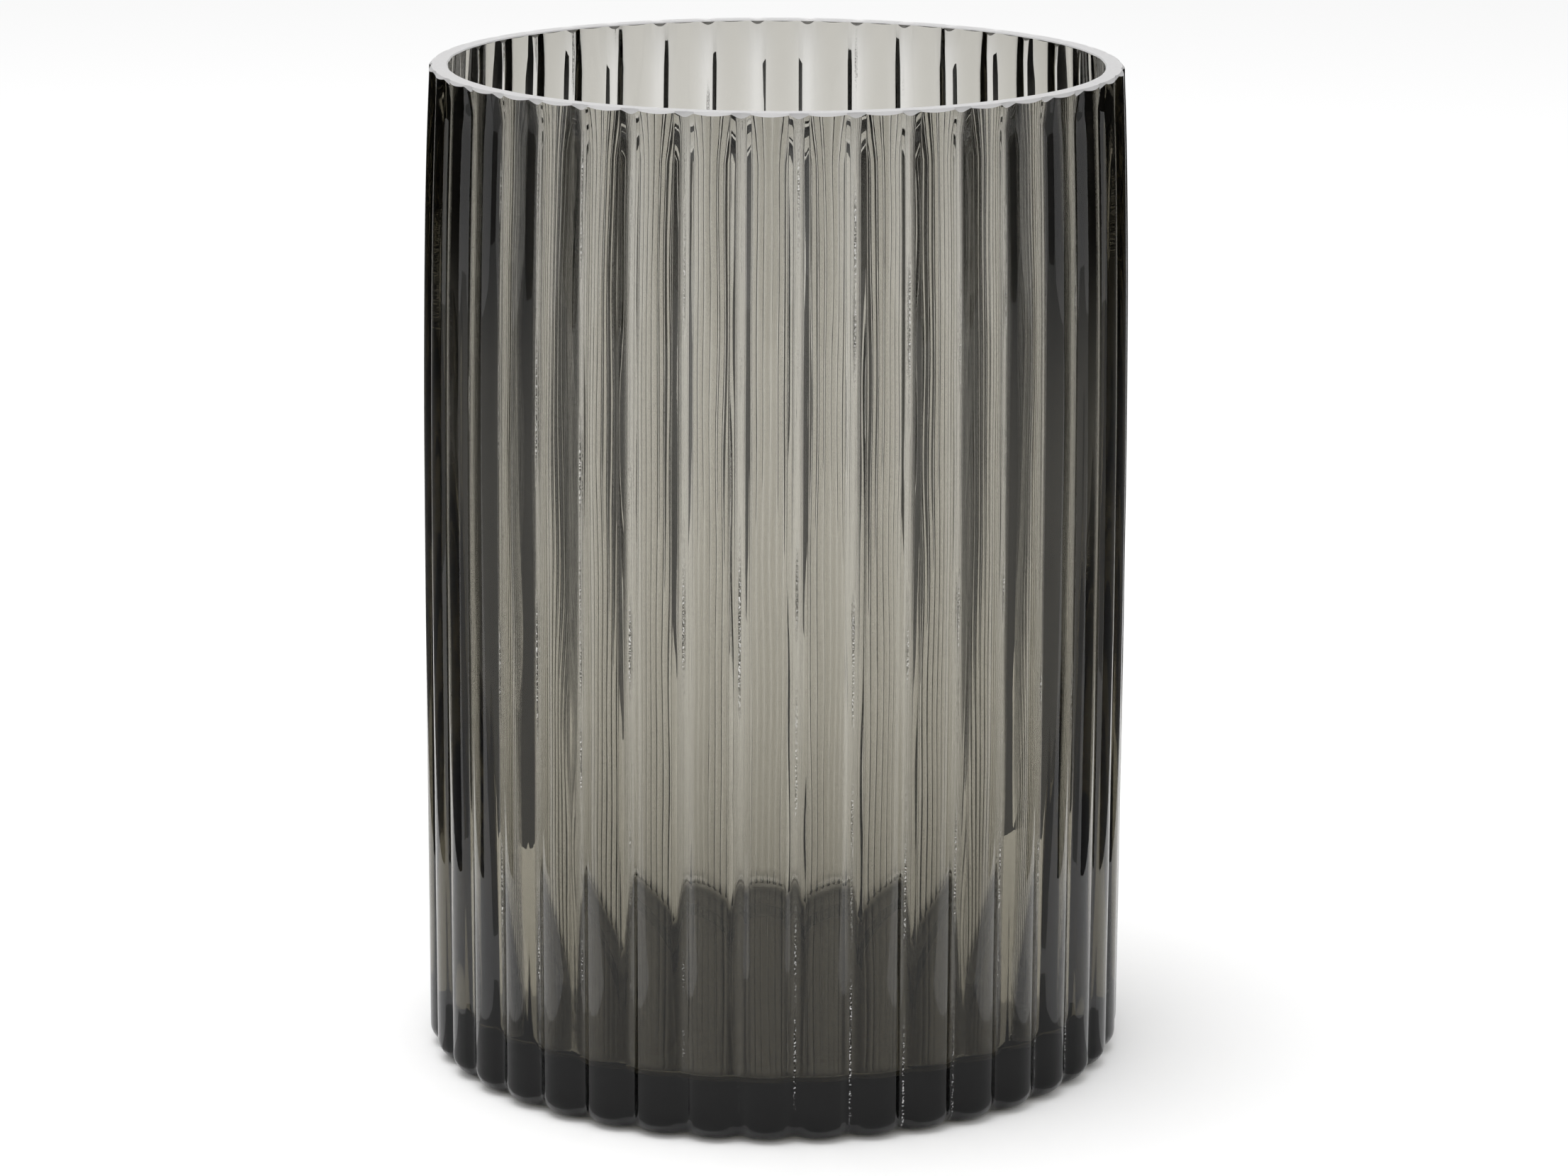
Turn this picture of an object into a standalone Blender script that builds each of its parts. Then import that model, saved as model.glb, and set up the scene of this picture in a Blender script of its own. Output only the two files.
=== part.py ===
"""Reeded glass cylinder vase: one thick-walled piece of smoke-grey glass.

Metres, +Z up. The vase stands on z = 0 with its axis on the Z axis, and a reed's crest lies on +X.
The outside carries vertical convex reeds that run from foot to rim, with rounded valleys between
their steep sides, which grow shallower just under the rim. The bore is plain and tapers towards the
floor, the rim is cut flat with a small bevel outside, and the underside is dished so that the vase
stands on a flat ring.
"""

import math

import bmesh
import bpy

HEIGHT = 0.198
CREST_RADIUS = 0.070  # over the reeds, at the foot
DRAW_IN = 0.00215  # how much narrower the rim is than the foot
DRAW_IN_POWER = 5  # high, so that most of it comes near the rim

REED_COUNT = 40
PITCH = math.tau * CREST_RADIUS / REED_COUNT
REED_RADIUS = 0.0080  # of the convex arc across a reed
SHOULDER_RADIUS = 0.0025  # of the tighter arc at each side of it
SHOULDER_START = math.radians(24)  # slope where the shoulder begins
FLANK_SLOPE = math.radians(34)  # of the reed's straight side
VALLEY_RADIUS = 0.0019  # of the hollow arc under the side
VALLEY_FLOOR = 0.0001  # width of the valley's flat bottom
HALF_REED_SHARES = (0, 0.17, 0.31, 0.405, 0.5)  # where the mesh has columns, in reed widths
BORE_COLUMNS = REED_COUNT * 2
RIM_FADE = 0.70  # share of the reeds' depth that is lost at the rim
RIM_FADE_HEIGHT = 0.006

WALL = 0.0038  # at a crest, at the rim
FOOT_WALL = 0.0068  # what the bore's taper would make it at the foot
TAPER_POWER = 1.8
BASE_THICKNESS = 0.0105
FLOOR_FILLET = 0.003
FLOOR_FILLET_STEPS = 3

FOOT_ROUND = 0.004  # radius of the outer edge under the reeds
FOOT_ROUND_STEPS = 3
FOOT_RING_RADIUS = 0.055  # inside of the flat ring that the vase stands on
DISH_RADIUS = 0.050
DISH_DEPTH = 0.0012

BEVEL_WIDTH = 0.00058
BEVEL_HEIGHT = 0.00071
BEVEL_STEPS = 2

WALL_BENDS = (0.055, 0.100, 0.140, 0.165, 0.183, 0.192)  # heights of rings on the curved wall

SHARP_ANGLE = math.radians(30)


def crest_radius(z):
    """Radius over the reeds at a height, leaving out the rounded foot and the bevel."""
    return CREST_RADIUS - DRAW_IN * (z / HEIGHT) ** DRAW_IN_POWER


def reed_drop(angle):
    """How far the outline lies under the crests, from the crest's arc out to the valley's floor."""
    turn = angle * REED_COUNT / math.tau
    across = abs(turn - round(turn)) * PITCH
    shoulder_start = REED_RADIUS * math.sin(SHOULDER_START)
    shoulder_width = SHOULDER_RADIUS * (math.sin(FLANK_SLOPE) - math.sin(SHOULDER_START))
    flank_start = shoulder_start + shoulder_width
    flank_end = PITCH / 2 - VALLEY_FLOOR / 2 - VALLEY_RADIUS * math.sin(FLANK_SLOPE)
    if across <= shoulder_start:
        return REED_RADIUS - math.sqrt(REED_RADIUS**2 - across**2)
    drop = REED_RADIUS * (1 - math.cos(SHOULDER_START))
    if across <= flank_start:
        slope = math.asin(math.sin(SHOULDER_START) + (across - shoulder_start) / SHOULDER_RADIUS)
        return drop + SHOULDER_RADIUS * (math.cos(SHOULDER_START) - math.cos(slope))
    drop += SHOULDER_RADIUS * (math.cos(SHOULDER_START) - math.cos(FLANK_SLOPE))
    if across <= flank_end:
        return drop + (across - flank_start) * math.tan(FLANK_SLOPE)
    drop += (flank_end - flank_start) * math.tan(FLANK_SLOPE)
    to_floor = max(PITCH / 2 - VALLEY_FLOOR / 2 - across, 0)
    return drop - VALLEY_RADIUS * math.cos(FLANK_SLOPE) + math.sqrt(VALLEY_RADIUS**2 - to_floor**2)


def bevel_radius(z):
    """Radius of the cone that bevels the rim's outer edge."""
    return crest_radius(HEIGHT) - BEVEL_WIDTH + (HEIGHT - z) * BEVEL_WIDTH / BEVEL_HEIGHT


def outer_radius(angle, z):
    """Radius of the reeded outside, with its rounded foot and its bevelled rim."""
    faded = RIM_FADE * max((z - HEIGHT) / RIM_FADE_HEIGHT + 1, 0) ** 2
    radius = crest_radius(z) - reed_drop(angle) * (1 - faded)
    if z < FOOT_ROUND:
        radius -= FOOT_ROUND - math.sqrt(FOOT_ROUND**2 - (FOOT_ROUND - z) ** 2)
    return min(radius, bevel_radius(z))


def bore_radius(z):
    """Radius of the bore, whose wall thickens towards the foot."""
    return crest_radius(z) - WALL - (FOOT_WALL - WALL) * (1 - z / HEIGHT) ** TAPER_POWER


def outer_heights():
    """Heights of the outside's rings, from the foot to the rim."""
    quarter = math.pi / 2
    foot = [
        FOOT_ROUND * (1 - math.cos(quarter * step / FOOT_ROUND_STEPS))
        for step in range(FOOT_ROUND_STEPS + 1)
    ]
    bevel = [
        HEIGHT - BEVEL_HEIGHT * (1 - step / BEVEL_STEPS) for step in range(BEVEL_STEPS + 1)
    ]
    return foot + list(WALL_BENDS) + bevel


def bore_outline():
    """Radius and height of the bore's rings, from the rim to the edge of its flat floor."""
    wall = [(bore_radius(z), z) for z in (HEIGHT, *reversed(WALL_BENDS))]
    quarter = math.pi / 2
    edge = bore_radius(BASE_THICKNESS + FLOOR_FILLET)
    fillet = []
    for step in range(FLOOR_FILLET_STEPS + 1):
        angle = quarter * step / FLOOR_FILLET_STEPS
        radius = edge - FLOOR_FILLET * (1 - math.cos(angle))
        fillet.append((radius, BASE_THICKNESS + FLOOR_FILLET * (1 - math.sin(angle))))
    return wall + fillet


def reed_angles():
    """Angles of the outside's columns, crest to crest round the vase."""
    shares = HALF_REED_SHARES + tuple(1 - share for share in HALF_REED_SHARES[-2:0:-1])
    return [(reed + share) * math.tau / REED_COUNT for reed in range(REED_COUNT) for share in shares]


def add_ring(mesh, radius_at, z, angles):
    """A ring of points at one height; radius_at gives the radius at each angle."""
    ring = []
    for angle in angles:
        radius = radius_at(angle)
        ring.append(mesh.verts.new((radius * math.cos(angle), radius * math.sin(angle), z)))
    return ring


def add_round_ring(mesh, radius, z):
    angles = [math.tau * column / BORE_COLUMNS for column in range(BORE_COLUMNS)]
    return add_ring(mesh, lambda angle: radius, z, angles)


def join_rings(mesh, first, second):
    """A band of faces between two rings, where the first may have several points to one."""
    share = len(first) // len(second)
    for column in range(len(second)):
        after = (column + 1) % len(second)
        run = [first[(column * share + step) % len(first)] for step in range(share + 1)]
        mesh.faces.new(run + [second[after], second[column]])


def join_all(mesh, rings):
    for first, second in zip(rings, rings[1:]):
        join_rings(mesh, first, second)


def vase_mesh():
    """The closed skin: up the reeded outside, over the rim, down the bore, and the underside."""
    mesh = bmesh.new()
    outside = [
        add_ring(mesh, lambda angle, z=z: outer_radius(angle, z), z, reed_angles())
        for z in outer_heights()
    ]
    bore = [add_round_ring(mesh, radius, z) for radius, z in bore_outline()]
    foot_ring = add_round_ring(mesh, FOOT_RING_RADIUS, 0)
    dish = add_round_ring(mesh, DISH_RADIUS, DISH_DEPTH)
    join_all(mesh, outside)
    join_all(mesh, [outside[-1]] + bore)
    join_all(mesh, [outside[0], foot_ring, dish])
    mesh.faces.new(bore[-1])
    mesh.faces.new(dish)
    bmesh.ops.recalc_face_normals(mesh, faces=mesh.faces)
    return mesh


def smoke_glass():
    """Clear, slightly warm grey glass."""
    material = bpy.data.materials.new("smoke_glass")
    material.use_nodes = True
    shader = material.node_tree.nodes["Principled BSDF"]
    shader.inputs["Base Color"].default_value = (0.62, 0.61, 0.58, 1)
    shader.inputs["Metallic"].default_value = 0
    shader.inputs["Roughness"].default_value = 0.02
    shader.inputs["IOR"].default_value = 1.52
    shader.inputs["Transmission Weight"].default_value = 1
    return material


def vase_body():
    data = bpy.data.meshes.new("vase_body")
    mesh = vase_mesh()
    mesh.to_mesh(data)
    mesh.free()
    data.shade_smooth()
    data.set_sharp_from_angle(angle=SHARP_ANGLE)
    data.materials.append(smoke_glass())
    body = bpy.data.objects.new("vase_body", data)
    bpy.context.collection.objects.link(body)
    return body


def main():
    for leftover in list(bpy.data.objects):
        bpy.data.objects.remove(leftover)
    vase_body()


main()
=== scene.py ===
"""The looks of the reeded glass vase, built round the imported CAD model.

The plain CAD solid is replaced by a finer skin of the same shape, with the small unevenness of
pressed glass, and stands in a small studio: pale floor, white surround, soft light from above.
Black and grey cards, which only the glass sees, go with the camera; see make_cards.
Lengths are in metres, with the vase's axis on the Z axis and a reed's crest on +X.
"""

import math

import bmesh
import bpy
import numpy as np
from mathutils import Matrix, Vector


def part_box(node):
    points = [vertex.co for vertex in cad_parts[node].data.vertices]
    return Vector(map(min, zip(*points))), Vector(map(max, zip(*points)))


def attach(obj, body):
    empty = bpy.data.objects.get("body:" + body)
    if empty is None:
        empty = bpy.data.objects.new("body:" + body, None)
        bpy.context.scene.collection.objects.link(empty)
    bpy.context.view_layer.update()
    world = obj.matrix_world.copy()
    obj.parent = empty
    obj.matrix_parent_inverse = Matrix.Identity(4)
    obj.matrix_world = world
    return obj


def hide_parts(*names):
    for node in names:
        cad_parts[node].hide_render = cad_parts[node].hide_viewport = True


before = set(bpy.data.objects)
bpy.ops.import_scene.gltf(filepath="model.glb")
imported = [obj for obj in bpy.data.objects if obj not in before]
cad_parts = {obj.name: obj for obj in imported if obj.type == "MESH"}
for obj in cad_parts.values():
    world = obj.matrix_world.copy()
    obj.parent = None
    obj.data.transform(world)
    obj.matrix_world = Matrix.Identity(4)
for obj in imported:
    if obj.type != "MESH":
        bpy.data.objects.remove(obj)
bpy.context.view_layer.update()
LOW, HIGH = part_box("vase_body")
HEIGHT = HIGH.z - LOW.z
CREST_RADIUS = (HIGH.x - LOW.x) / 2

MM = 0.001

# The vase's own sizes, the same as the CAD's but for the dish: its edge is a wider, smooth curve.
DRAW_IN = 2.15 * MM  # how much narrower the rim is than the foot
DRAW_IN_POWER = 5
REED_COUNT = 40
REED_RADIUS = 8.0 * MM  # of the convex arc across a reed
SHOULDER_RADIUS = 2.5 * MM  # of the tighter arc at each side of it
SHOULDER_START = math.radians(24)  # slope where the shoulder begins
FLANK_SLOPE = math.radians(34)  # of the reed's straight side
VALLEY_RADIUS = 1.9 * MM  # of the hollow arc under the side
VALLEY_FLOOR = 0.1 * MM  # width of the valley's flat bottom
RIM_FADE = 0.70  # share of the reeds' depth that is lost at the rim
RIM_FADE_HEIGHT = 6 * MM
WALL = 3.8 * MM  # at the rim
FOOT_WALL = 6.8 * MM  # what the bore's taper would make it at the foot
TAPER_POWER = 1.8
BASE_THICKNESS = 10.5 * MM
FLOOR_FILLET = 3 * MM
FOOT_ROUND = 4 * MM
FOOT_RING_RADIUS = 55 * MM
DISH_RADIUS = 46 * MM
DISH_DEPTH = 1.2 * MM
BEVEL_WIDTH = 0.58 * MM
BEVEL_HEIGHT = 0.71 * MM

# Finer than the CAD: the small bevels, and the frosted facets that grinding left in the valleys.
BORE_BEVEL = 0.25 * MM
LEAST_BEVEL = 0.06 * MM
SLACK = 0.05 * MM  # keeps the unevenness inside the CAD's box
CHIP_HEIGHT = 1.1 * MM
CHIP_SHARE = 0.17  # half-width of a facet, in reed widths
CHIP_WIDTH = 0.25  # of the facet on the rim, as a share of its height

# The slow unevenness of pressed glass: seed, size, most waves round, most radians a metre up.
OUTER_RIPPLE = (3, 0.02 * MM, 60, 160)
BORE_RIPPLE = (8, 0.06 * MM, 46, 160)
RIPPLE_WAVES = 16

# The finer skin's mesh.
ARC_COLUMNS = 6
SHOULDER_COLUMNS = 3
VALLEY_COLUMNS = 4
REED_COLUMNS = 2 * (ARC_COLUMNS + SHOULDER_COLUMNS + VALLEY_COLUMNS + 2)
BORE_COLUMNS = REED_COUNT * REED_COLUMNS // 3
FOOT_RINGS = 8
WALL_RINGS = 44
BORE_RINGS = 40
FILLET_RINGS = 8
DISH_RINGS = 6
FLOOR_SHARES = (0.8, 0.55, 0.3, 0.12)  # radii of the floor's rings, as shares of its edge's
FLOOR_RISE = 0.25 * MM  # of the floor's middle
DISH_SHARES = (0.7, 0.4, 0.15)
SHARP_ANGLE = math.radians(24)

# The camera, at the picture's viewing angle.
CAMERA_REACH = 0.9715
CAMERA_HEIGHT = 0.3328
CAMERA_TURN = math.radians(1.0)
CAMERA_PITCH = math.radians(13.897)
CAMERA_YAW = math.radians(-0.109)
CAMERA_ROLL = math.radians(0.249)
CAMERA_LENS = 114.87
SENSOR_WIDTH = 36

GLASS, GROUND = 0, 1  # places in the vase's list of materials

# The glass.
IOR = 1.52
TINT = (0.25, 0.215, 0.10, 1)
TINT_DENSITY = 180

# Its dotted chill lines in the valleys, crinkled by a bump and dotted with painted shade and painted
# glints, and its fine streaks.
CHILL_WIDTHS = (0.012, 0.028)  # in reed widths from the valley's middle, where a line fades
OUTSIDE_FROM = 65.4 * MM  # radii between the bore and the valleys
BORE_UNDER = 64.8 * MM
GAP_SCALE = 40
GAP_LEVELS = (0.70, 0.46)
CRINKLE_SCALE = 2700
CRINKLE_HEIGHT = 0.22 * MM
PAINTED_SHADE_LEVELS = (0.44, 0.50)
PAINTED_SHADE_SHARE = 0.9
PAINTED_GLINT_LEVELS = (0.62, 0.56)
PAINTED_GLINT_SHARE = 0.55
STREAK_SCALE = 900
STREAK_STRETCH = 0.02
STREAK_SHARE = 0.012

# The cut rim.
RIM_COLOUR = (0.95, 0.94, 0.94, 1)
SPECKLE_SCALE = 3200
SPECKLE_HEIGHT = 0.02 * MM
LEAST_ROUGHNESS = 0.3
ROUGHNESS_SPREAD = 0.4

# The studio.
FLOOR_REACH = 6
PAPER_SHADE = 0.86
# The grey card's shade is painted shade, standing in for the shaded floor in front of the vase as the
# glass sees it.
GREY_CARD_PAINTED_SHADE = 0.42
# The black cloth's foot is painted paler, as painted light from the floor; its top keeps the cloth's
# own black.
DRAPE_FOOT_SHADE_WITH_PAINTED_LIGHT = 0.12
DRAPE_TOP_SHADE = 0.008
DRAPE_PAINTED_LIGHT_HEIGHTS = (80 * MM, 150 * MM)  # heights between which the painted light from the floor fades out on the cloth
FLOOR_DROP = 0.2 * MM
CARD_ASIDE = 0.20  # how far the black cards stand from the vase's axis, left and right
CARD_NEAR = -0.05
CARD_BACK = 0.48
CARD_TALL = 0.9
DRAPE_BACK = -1.05  # behind the camera
DRAPE_TALL = 2
ROOM = 1.0  # half-width of the drape and of the grey card
CARD_LIE = 0.5 * MM
CARD_EDGE = -0.12  # far edge of the grey card, but for its wings beside the foot
CARD_WING = 0.10
CARD_NOTCH = 70.5 * MM  # radius of the curve cut out for the foot
NOTCH_START = math.radians(-165)
NOTCH_TURN = math.radians(150)
NOTCH_STEPS = 16
LAMP_PLACE = (-0.22, -0.05, 1.35)
LAMP_SIZE = 1.2
LAMP_WATTS = 12

PITCH = math.tau * CREST_RADIUS / REED_COUNT


def crest_radius(z):
    return CREST_RADIUS - DRAW_IN * (z / HEIGHT) ** DRAW_IN_POWER


def from_crest(angle):
    """Distance from the nearest reed's crest, as a share of a reed's width: 0 to 0.5."""
    turn = angle * REED_COUNT / math.tau
    return np.abs(turn - np.round(turn))


def half_reed():
    """Points along half a reed's outline, crest to valley: distance across and drop."""
    across, drop = [0.0], [0.0]

    def arc(radius, start, end, steps):
        for step in range(steps):
            slope = start + (end - start) * (step + 1) / steps
            before = start + (end - start) * step / steps
            across.append(across[-1] + radius * abs(math.sin(slope) - math.sin(before)))
            drop.append(drop[-1] + radius * abs(math.cos(slope) - math.cos(before)))

    arc(REED_RADIUS, 0, SHOULDER_START, ARC_COLUMNS)
    arc(SHOULDER_RADIUS, SHOULDER_START, FLANK_SLOPE, SHOULDER_COLUMNS)
    flank_end = PITCH / 2 - VALLEY_FLOOR / 2 - VALLEY_RADIUS * math.sin(FLANK_SLOPE)
    drop.append(drop[-1] + (flank_end - across[-1]) * math.tan(FLANK_SLOPE))
    across.append(flank_end)
    arc(VALLEY_RADIUS, FLANK_SLOPE, 0, VALLEY_COLUMNS)
    across.append(PITCH / 2)
    drop.append(drop[-1])
    return np.array(across), np.array(drop)


def reed_drop(angle):
    """How far the outline lies under the crests."""
    across, drop = half_reed()
    return np.interp(from_crest(angle) * PITCH, across, drop)


def outer_angles():
    """The angles of the outside's columns, which are closer together where the outline turns."""
    half = half_reed()[0] / PITCH
    shares = np.concatenate([half, 1 - half[-2:0:-1]])
    turns = np.arange(REED_COUNT)[:, None] + shares[None, :]
    return (turns * math.tau / REED_COUNT).ravel()


def even_angles():
    return np.arange(BORE_COLUMNS) * math.tau / BORE_COLUMNS


def ripple(angle, z, kind):
    """A sum of long waves round and up the wall."""
    seed, size, around, up = kind
    random = np.random.default_rng(seed)
    total = np.zeros(np.broadcast(angle, z).shape)
    for _ in range(RIPPLE_WAVES):
        cycles = random.integers(1, around)
        rate = random.uniform(-up, up)
        phase = random.uniform(0, math.tau)
        total += np.cos(cycles * angle + rate * z + phase)
    return size * np.clip(total / math.sqrt(RIPPLE_WAVES), -2, 2)


def outer_radius(angle, z):
    wave = ripple(angle, z, OUTER_RIPPLE)
    shallow = 1 - RIM_FADE * np.clip((z - HEIGHT) / RIM_FADE_HEIGHT + 1, 0, 1) ** 2
    return crest_radius(z) - SLACK - reed_drop(angle) * shallow + wave


def rim_bevel(angle):
    """Width and height of the bevel round the outer edge of the rim, at each angle."""
    ring = crest_radius(HEIGHT) - BEVEL_WIDTH
    proud = outer_radius(angle, HEIGHT) - ring
    height = np.maximum(proud, 0) * BEVEL_HEIGHT / BEVEL_WIDTH
    off = 0.5 - from_crest(angle)
    chip = CHIP_HEIGHT * np.clip(1 - (off / CHIP_SHARE) ** 2, 0, 1)
    height = np.maximum(np.maximum(height, chip), LEAST_BEVEL)
    width = np.maximum(np.maximum(proud, chip * CHIP_WIDTH), LEAST_BEVEL)
    return width, height


def outer_rings():
    """The outside's rings from the foot to the rim, each as (angle, radius, height) arrays."""
    angle = outer_angles()
    level = np.ones(len(angle))
    rings = []
    for step in range(FOOT_RINGS):
        turn = math.pi / 2 * step / FOOT_RINGS
        z = level * FOOT_ROUND * (1 - math.cos(turn))
        rings.append((angle, outer_radius(angle, z) - FOOT_ROUND * (1 - math.sin(turn)), z))
    width, height = rim_bevel(angle)
    for step in range(WALL_RINGS + 1):
        z = FOOT_ROUND + (HEIGHT - height - FOOT_ROUND) * step / WALL_RINGS
        rings.append((angle, outer_radius(angle, z), z))
    top = level * HEIGHT
    rings.append((angle, outer_radius(angle, top) - width, top))
    return rings


def bore_radius(angle, z):
    wave = ripple(angle, z, BORE_RIPPLE)
    wall = WALL + (FOOT_WALL - WALL) * (1 - z / HEIGHT) ** TAPER_POWER
    return crest_radius(z) - wall + wave


def bore_rings():
    """The bore's rings from the rim's inner edge down to the flat floor."""
    angle = even_angles()
    level = np.ones(len(angle))
    rings = [(angle, bore_radius(angle, level * HEIGHT) + BORE_BEVEL, level * HEIGHT)]
    top = HEIGHT - BORE_BEVEL
    bottom = BASE_THICKNESS + FLOOR_FILLET
    for step in range(BORE_RINGS + 1):
        z = level * (top + (bottom - top) * step / BORE_RINGS)
        rings.append((angle, bore_radius(angle, z), z))
    edge = rings[-1][1]
    for step in range(1, FILLET_RINGS + 1):
        turn = math.pi / 2 * step / FILLET_RINGS
        z = level * (BASE_THICKNESS + FLOOR_FILLET * (1 - math.sin(turn)))
        rings.append((angle, edge - FLOOR_FILLET * (1 - math.cos(turn)), z))
    for share in FLOOR_SHARES:
        rings.append((angle, edge * share, level * (BASE_THICKNESS + FLOOR_RISE * (1 - share))))
    return rings


def under_rings():
    """The underside's rings, from the flat ring that the vase stands on to the dish's middle."""
    angle = even_angles()
    level = np.ones(len(angle))
    rings = []
    for step in range(DISH_RINGS + 1):
        share = step / DISH_RINGS
        radius = FOOT_RING_RADIUS + (DISH_RADIUS - FOOT_RING_RADIUS) * share
        z = DISH_DEPTH * (1 - math.cos(math.pi * share)) / 2
        rings.append((angle, level * radius, level * z))
    for share in DISH_SHARES:
        rings.append((angle, level * DISH_RADIUS * share, level * DISH_DEPTH))
    return rings


class Skin:
    """Points and faces of a mesh built from rings round the Z axis."""

    def __init__(self):
        self.points = []
        self.faces = []
        self.finishes = []

    def add_ring(self, angle, radius, z):
        start = sum(len(block) for block in self.points)
        self.points.append(np.column_stack([radius * np.cos(angle), radius * np.sin(angle), z]))
        return start + np.arange(len(angle))

    def join(self, first, second, finish):
        """A band of faces between two rings, where the first may have several points to one."""
        share = len(first) // len(second)
        runs = [np.roll(first, -step)[::share] for step in range(share + 1)]
        band = np.column_stack(runs + [np.roll(second, -1), second])
        self.faces += band.tolist()
        self.finishes += [finish] * len(band)

    def close(self, ring, finish):
        self.faces.append(ring.tolist())
        self.finishes.append(finish)

    def to_object(self, name, materials):
        data = bpy.data.meshes.new(name)
        data.from_pydata(np.concatenate(self.points).tolist(), [], self.faces)
        for material in materials:
            data.materials.append(material)
        data.polygons.foreach_set("material_index", self.finishes)
        turn_outward(data)
        data.shade_smooth()
        data.set_sharp_from_angle(angle=SHARP_ANGLE)
        piece = bpy.data.objects.new(name, data)
        bpy.context.scene.collection.objects.link(piece)
        return piece


def turn_outward(data):
    mesh = bmesh.new()
    mesh.from_mesh(data)
    bmesh.ops.recalc_face_normals(mesh, faces=mesh.faces)
    mesh.to_mesh(data)
    mesh.free()


def vase_skin(materials):
    skin = Skin()
    outside = [skin.add_ring(*ring) for ring in outer_rings()]
    bore = [skin.add_ring(*ring) for ring in bore_rings()]
    under = [skin.add_ring(*ring) for ring in under_rings()]
    for first, second in zip(outside[:-1], outside[1:-1]):
        skin.join(first, second, GLASS)
    skin.join(outside[-2], outside[-1], GROUND)
    skin.join(outside[-1], bore[0], GROUND)
    skin.join(bore[0], bore[1], GROUND)
    for first, second in zip(bore[1:], bore[2:]):
        skin.join(first, second, GLASS)
    skin.close(bore[-1], GLASS)
    skin.join(outside[0], under[0], GLASS)
    for first, second in zip(under, under[1:]):
        skin.join(first, second, GLASS)
    skin.close(under[-1], GLASS)
    return skin.to_object("reeded_glass_vase", materials)


def new_material(name):
    material = bpy.data.materials.new(name)
    material.use_nodes = True
    return material, material.node_tree.nodes["Principled BSDF"]


def math_node(tree, operation, first, second=0.0):
    """A Math node; each input is a socket or a number."""
    node = tree.nodes.new("ShaderNodeMath")
    node.operation = operation
    for socket, value in zip(node.inputs, (first, second)):
        if isinstance(value, bpy.types.NodeSocket):
            tree.links.new(value, socket)
        else:
            socket.default_value = value
    return node.outputs["Value"]


def fade(tree, value, start, end):
    """1 below start, falling smoothly to 0 at end; the other way round if end is below start."""
    node = tree.nodes.new("ShaderNodeMapRange")
    node.interpolation_type = "SMOOTHSTEP"
    tree.links.new(value, node.inputs["Value"])
    low, high = sorted((start, end))
    node.inputs["From Min"].default_value = low
    node.inputs["From Max"].default_value = high
    node.inputs["To Min"].default_value = 1 if start < end else 0
    node.inputs["To Max"].default_value = 0 if start < end else 1
    return node.outputs["Result"]


def noise(tree, vector, scale, detail=2.0):
    node = tree.nodes.new("ShaderNodeTexNoise")
    node.inputs["Scale"].default_value = scale
    node.inputs["Detail"].default_value = detail
    tree.links.new(vector, node.inputs["Vector"])
    return node.outputs["Fac"]


def bump(tree, height, distance):
    node = tree.nodes.new("ShaderNodeBump")
    node.inputs["Distance"].default_value = distance
    tree.links.new(height, node.inputs["Height"])
    return node.outputs["Normal"]


def absorb(material):
    """The tint inside the glass, the same on both finishes, so that it starts and ends with it."""
    tree = material.node_tree
    volume = tree.nodes.new("ShaderNodeVolumeAbsorption")
    volume.inputs["Color"].default_value = TINT
    volume.inputs["Density"].default_value = TINT_DENSITY
    output = tree.nodes["Material Output"]
    tree.links.new(volume.outputs["Volume"], output.inputs["Volume"])


def product(tree, *factors):
    """The product of sockets and numbers."""
    total = factors[0]
    for factor in factors[1:]:
        total = math_node(tree, "MULTIPLY", total, factor)
    return total


def valley_mask(tree, place):
    """1 on the outside along the bottom of each valley, with gaps here and there, and 0 elsewhere."""
    split = tree.nodes.new("ShaderNodeSeparateXYZ")
    tree.links.new(place, split.inputs["Vector"])
    x, y = split.outputs["X"], split.outputs["Y"]
    turn = product(tree, math_node(tree, "ARCTAN2", y, x), REED_COUNT / math.tau)
    share = math_node(tree, "FRACT", math_node(tree, "ADD", turn, REED_COUNT))
    from_valley = math_node(tree, "ABSOLUTE", math_node(tree, "SUBTRACT", share, 0.5))
    squares = math_node(tree, "ADD", product(tree, x, x), product(tree, y, y))
    radius = math_node(tree, "SQRT", squares)
    in_valley = fade(tree, from_valley, *CHILL_WIDTHS)
    outside = fade(tree, radius, OUTSIDE_FROM, BORE_UNDER)
    stretch = fade(tree, noise(tree, place, GAP_SCALE, 1), *GAP_LEVELS)
    return product(tree, in_valley, outside, stretch)


def drawn_streaks(tree, place):
    """Noise drawn out up the wall into fine streaks."""
    drawn = tree.nodes.new("ShaderNodeVectorMath")
    drawn.operation = "MULTIPLY"
    drawn.inputs[1].default_value = (1, 1, STREAK_STRETCH)
    tree.links.new(place, drawn.inputs[0])
    return noise(tree, drawn.outputs["Vector"], STREAK_SCALE, 2)


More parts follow.
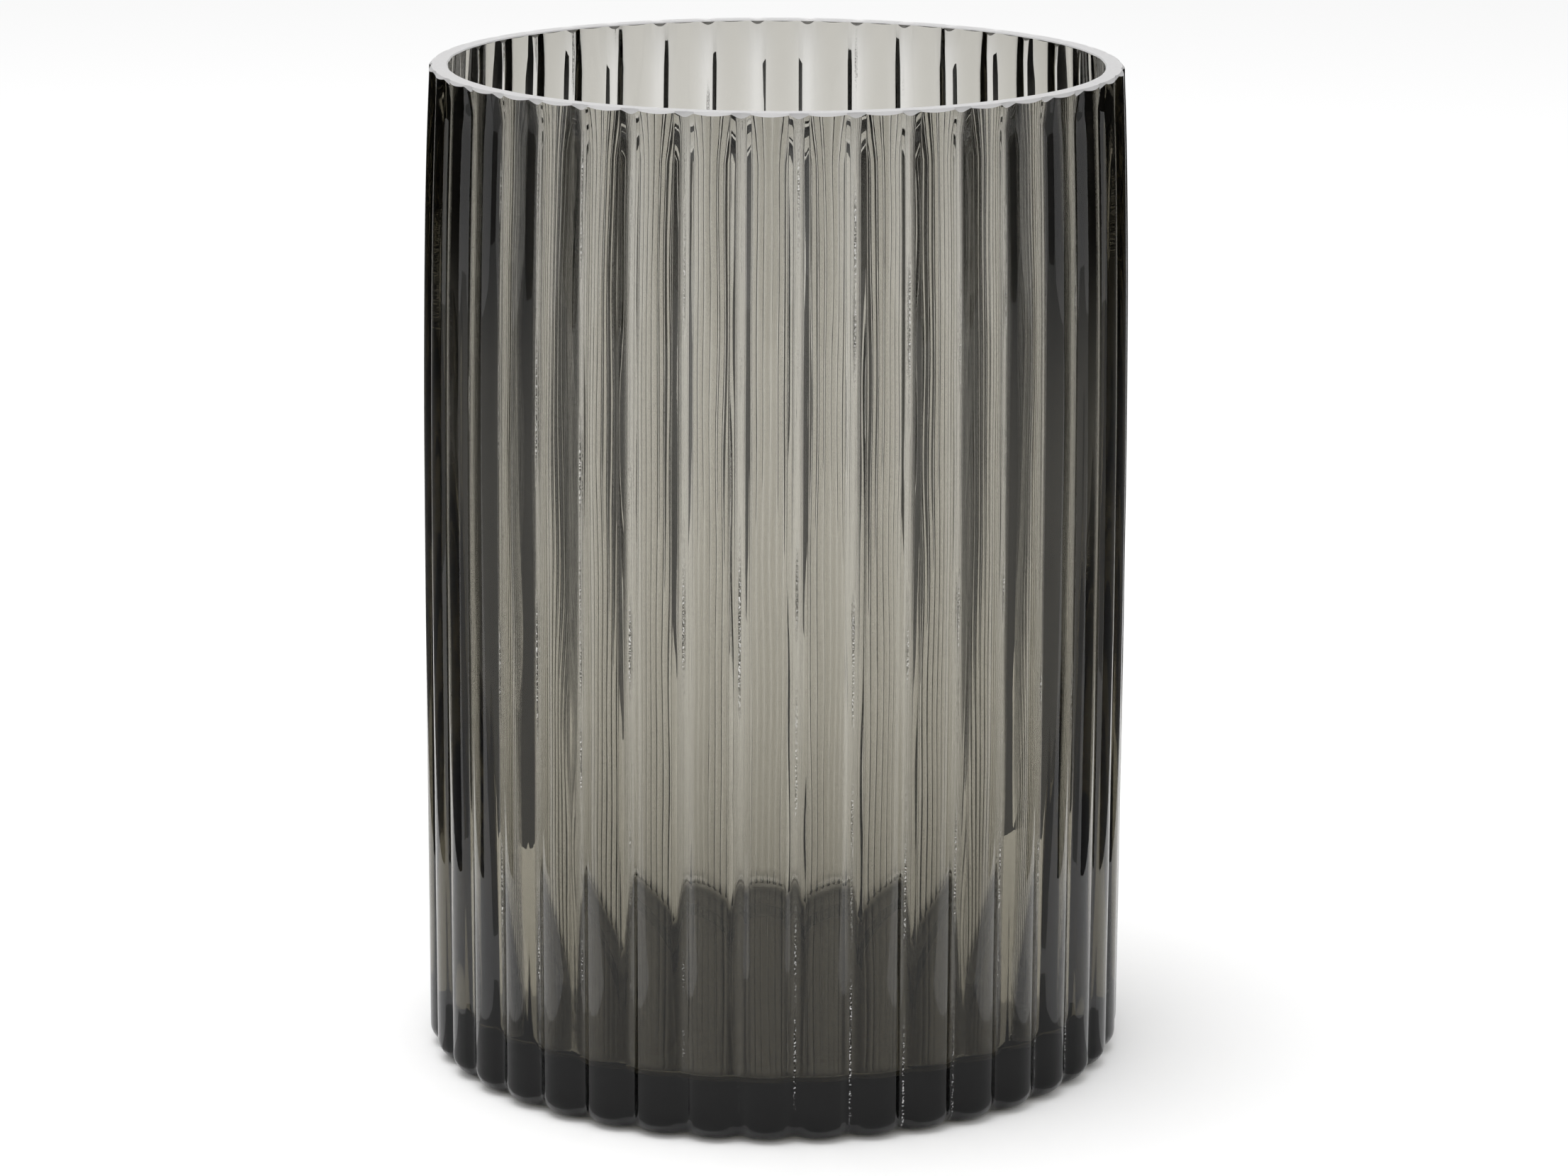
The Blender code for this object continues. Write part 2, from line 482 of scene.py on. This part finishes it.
def smoke_glass():
    """Clear glass, crinkled along the valleys where the hot glass first met the mould, with dots of
    painted shade and painted glint along the crinkles.
    """
    material, shader = new_material("smoke_glass")
    shader.inputs["Base Color"].default_value = (1, 1, 1, 1)
    shader.inputs["Transmission Weight"].default_value = 1
    shader.inputs["Roughness"].default_value = 0
    shader.inputs["IOR"].default_value = IOR
    tree = material.node_tree
    place = tree.nodes.new("ShaderNodeTexCoord").outputs["Object"]
    mask = valley_mask(tree, place)
    crinkle = noise(tree, place, CRINKLE_SCALE, 1)
    streaks = product(tree, drawn_streaks(tree, place), STREAK_SHARE)
    height = math_node(tree, "ADD", product(tree, crinkle, mask), streaks)
    tree.links.new(bump(tree, height, CRINKLE_HEIGHT), shader.inputs["Normal"])
    # Painted shade: dots along the crinkles darken the colour. Painted glints: other dots make the
    # glass partly matt white.
    dark = product(tree, fade(tree, crinkle, *PAINTED_SHADE_LEVELS), mask, PAINTED_SHADE_SHARE)
    pale = product(tree, fade(tree, crinkle, *PAINTED_GLINT_LEVELS), mask, PAINTED_GLINT_SHARE)
    tree.links.new(math_node(tree, "SUBTRACT", 1, dark), shader.inputs["Base Color"])
    tree.links.new(math_node(tree, "SUBTRACT", 1, pale), shader.inputs["Transmission Weight"])
    absorb(material)
    return material


def ground_glass():
    """The rim's flat cut, left matt by the grinding wheel, with fine speckle."""
    material, shader = new_material("ground_rim")
    shader.inputs["Base Color"].default_value = RIM_COLOUR
    shader.inputs["IOR"].default_value = IOR
    shader.inputs["Transmission Weight"].default_value = 0.6
    tree = material.node_tree
    place = tree.nodes.new("ShaderNodeTexCoord").outputs["Object"]
    speckle = noise(tree, place, SPECKLE_SCALE, 3)
    spread = product(tree, speckle, ROUGHNESS_SPREAD)
    roughness = math_node(tree, "ADD", spread, LEAST_ROUGHNESS)
    tree.links.new(roughness, shader.inputs["Roughness"])
    tree.links.new(bump(tree, speckle, SPECKLE_HEIGHT), shader.inputs["Normal"])
    absorb(material)
    return material


def make_camera():
    cos, sin = math.cos, math.sin
    forward = Vector(
        (
            -sin(CAMERA_YAW) * cos(CAMERA_PITCH),
            cos(CAMERA_YAW) * cos(CAMERA_PITCH),
            -sin(CAMERA_PITCH),
        )
    )
    level = Vector((cos(CAMERA_YAW), sin(CAMERA_YAW), 0))
    above = level.cross(forward)
    right = level * cos(CAMERA_ROLL) + above * sin(CAMERA_ROLL)
    up = above * cos(CAMERA_ROLL) - level * sin(CAMERA_ROLL)
    axes = Matrix((right, up, -forward)).transposed().to_4x4()
    place = Matrix.Translation((0, -CAMERA_REACH, CAMERA_HEIGHT))
    data = bpy.data.cameras.new("camera")
    data.lens = CAMERA_LENS
    data.sensor_width = SENSOR_WIDTH
    data.clip_start = 0.01
    data.clip_end = 50
    camera = bpy.data.objects.new("camera", data)
    camera.matrix_world = Matrix.Rotation(CAMERA_TURN, 4, "Z") @ place @ axes
    bpy.context.scene.collection.objects.link(camera)
    bpy.context.scene.camera = camera
    return camera


def panel(name, material, corners):
    data = bpy.data.meshes.new(name)
    data.from_pydata(corners, [], [tuple(range(len(corners)))])
    data.materials.append(material)
    piece = bpy.data.objects.new(name, data)
    bpy.context.scene.collection.objects.link(piece)
    return piece


def matt(name, shade):
    material, shader = new_material(name)
    shader.inputs["Base Color"].default_value = (shade, shade, shade, 1)
    shader.inputs["Roughness"].default_value = 1
    shader.inputs["Specular IOR Level"].default_value = 0
    return material


def painted_light_drape(name):
    """Black cloth, painted paler near its foot: painted light standing in for the pale floor's light
    on it.
    """
    material, shader = new_material(name)
    shader.inputs["Roughness"].default_value = 1
    shader.inputs["Specular IOR Level"].default_value = 0
    tree = material.node_tree
    place = tree.nodes.new("ShaderNodeTexCoord").outputs["Object"]
    split = tree.nodes.new("ShaderNodeSeparateXYZ")
    tree.links.new(place, split.inputs["Vector"])
    # Painted light: the colour grows paler towards the foot, standing in for the floor's light on the
    # cloth.
    low = fade(tree, split.outputs["Z"], *DRAPE_PAINTED_LIGHT_HEIGHTS)
    shade = product(tree, low, DRAPE_FOOT_SHADE_WITH_PAINTED_LIGHT - DRAPE_TOP_SHADE)
    shade = math_node(tree, "ADD", shade, DRAPE_TOP_SHADE)
    tree.links.new(shade, shader.inputs["Base Color"])
    return material


def make_floor():
    reach, low = FLOOR_REACH, -FLOOR_DROP
    corners = [(-reach, -reach, low), (reach, -reach, low), (reach, reach, low), (-reach, reach, low)]
    return panel("floor", matt("paper", PAPER_SHADE), corners)


def front_card_outline():
    """The grey card's outline: from behind the camera to the vase, cut to a curve round its foot."""
    notch = []
    for step in range(NOTCH_STEPS + 1):
        angle = NOTCH_START + NOTCH_TURN * step / NOTCH_STEPS
        notch.append((CARD_NOTCH * math.cos(angle), CARD_NOTCH * math.sin(angle)))
    wing_end = notch[0][1]
    left = [(-ROOM, DRAPE_BACK), (-ROOM, CARD_EDGE), (-CARD_WING, CARD_EDGE), (-CARD_WING, wing_end)]
    right = [(-x, y) for x, y in reversed(left)]
    return [(x, y, CARD_LIE) for x, y in left + notch + right]


def make_cards(camera):
    """Cards that only the glass sees, set as for a glass photograph, which give it its dark lines.

    They go with the camera, as when the vase turns on a turntable: black ones standing left and
    right of the vase, a black one behind the camera, and a grey one lying in front of the vase.
    The black ones carry painted light from the floor near their foot. The grey one is painted shade:
    it stands in for the shaded floor in front of the vase and round its foot, as the glass sees it.
    """
    black = painted_light_drape("black_card_painted_foot_light")
    grey = matt("painted_shade_grey_card", GREY_CARD_PAINTED_SHADE)
    cards = []
    for x, name in ((-CARD_ASIDE, "card_left"), (CARD_ASIDE, "card_right")):
        corners = [
            (x, CARD_NEAR, 0),
            (x, CARD_BACK, 0),
            (x, CARD_BACK, CARD_TALL),
            (x, CARD_NEAR, CARD_TALL),
        ]
        cards.append(panel(name, black, corners))
    y = DRAPE_BACK
    behind = [(-ROOM, y, 0), (ROOM, y, 0), (ROOM, y, DRAPE_TALL), (-ROOM, y, DRAPE_TALL)]
    cards.append(panel("drape_behind_camera", black, behind))
    # The grey card: painted shade for the floor in front of the vase and round its foot.
    cards.append(panel("painted_shade_card_in_front", grey, front_card_outline()))
    for card in cards:
        card.matrix_world = Matrix.Rotation(CAMERA_TURN, 4, "Z")
        card.parent = camera
        card.matrix_parent_inverse = camera.matrix_world.inverted()
        card.visible_camera = False
        card.visible_diffuse = False
        card.visible_shadow = False


def make_lights():
    scene = bpy.context.scene
    world = bpy.data.worlds.new("studio")
    world.use_nodes = True
    world.node_tree.nodes["Background"].inputs["Color"].default_value = (1, 1, 1, 1)
    world.node_tree.nodes["Background"].inputs["Strength"].default_value = 1.0
    scene.world = world
    data = bpy.data.lights.new("overhead", "AREA")
    data.shape = "DISK"
    data.size = LAMP_SIZE
    data.energy = LAMP_WATTS
    lamp = bpy.data.objects.new("overhead", data)
    lamp.location = LAMP_PLACE
    lamp.rotation_euler = (0, math.atan2(LAMP_PLACE[0], LAMP_PLACE[2]), 0)
    scene.collection.objects.link(lamp)


def set_rendering():
    """A plain view of the light, and enough bounces for light to find its way through the glass."""
    scene = bpy.context.scene
    scene.view_settings.view_transform = "Standard"
    scene.cycles.max_bounces = 40
    scene.cycles.transmission_bounces = 40
    scene.cycles.glossy_bounces = 24
    scene.cycles.caustics_refractive = True
    scene.cycles.caustics_reflective = True
    scene.cycles.blur_glossy = 0.3


def main():
    camera = make_camera()
    vase = vase_skin([smoke_glass(), ground_glass()])
    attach(vase, "root")
    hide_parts("vase_body")
    make_floor()
    bpy.context.view_layer.update()
    make_cards(camera)
    make_lights()
    set_rendering()


main()
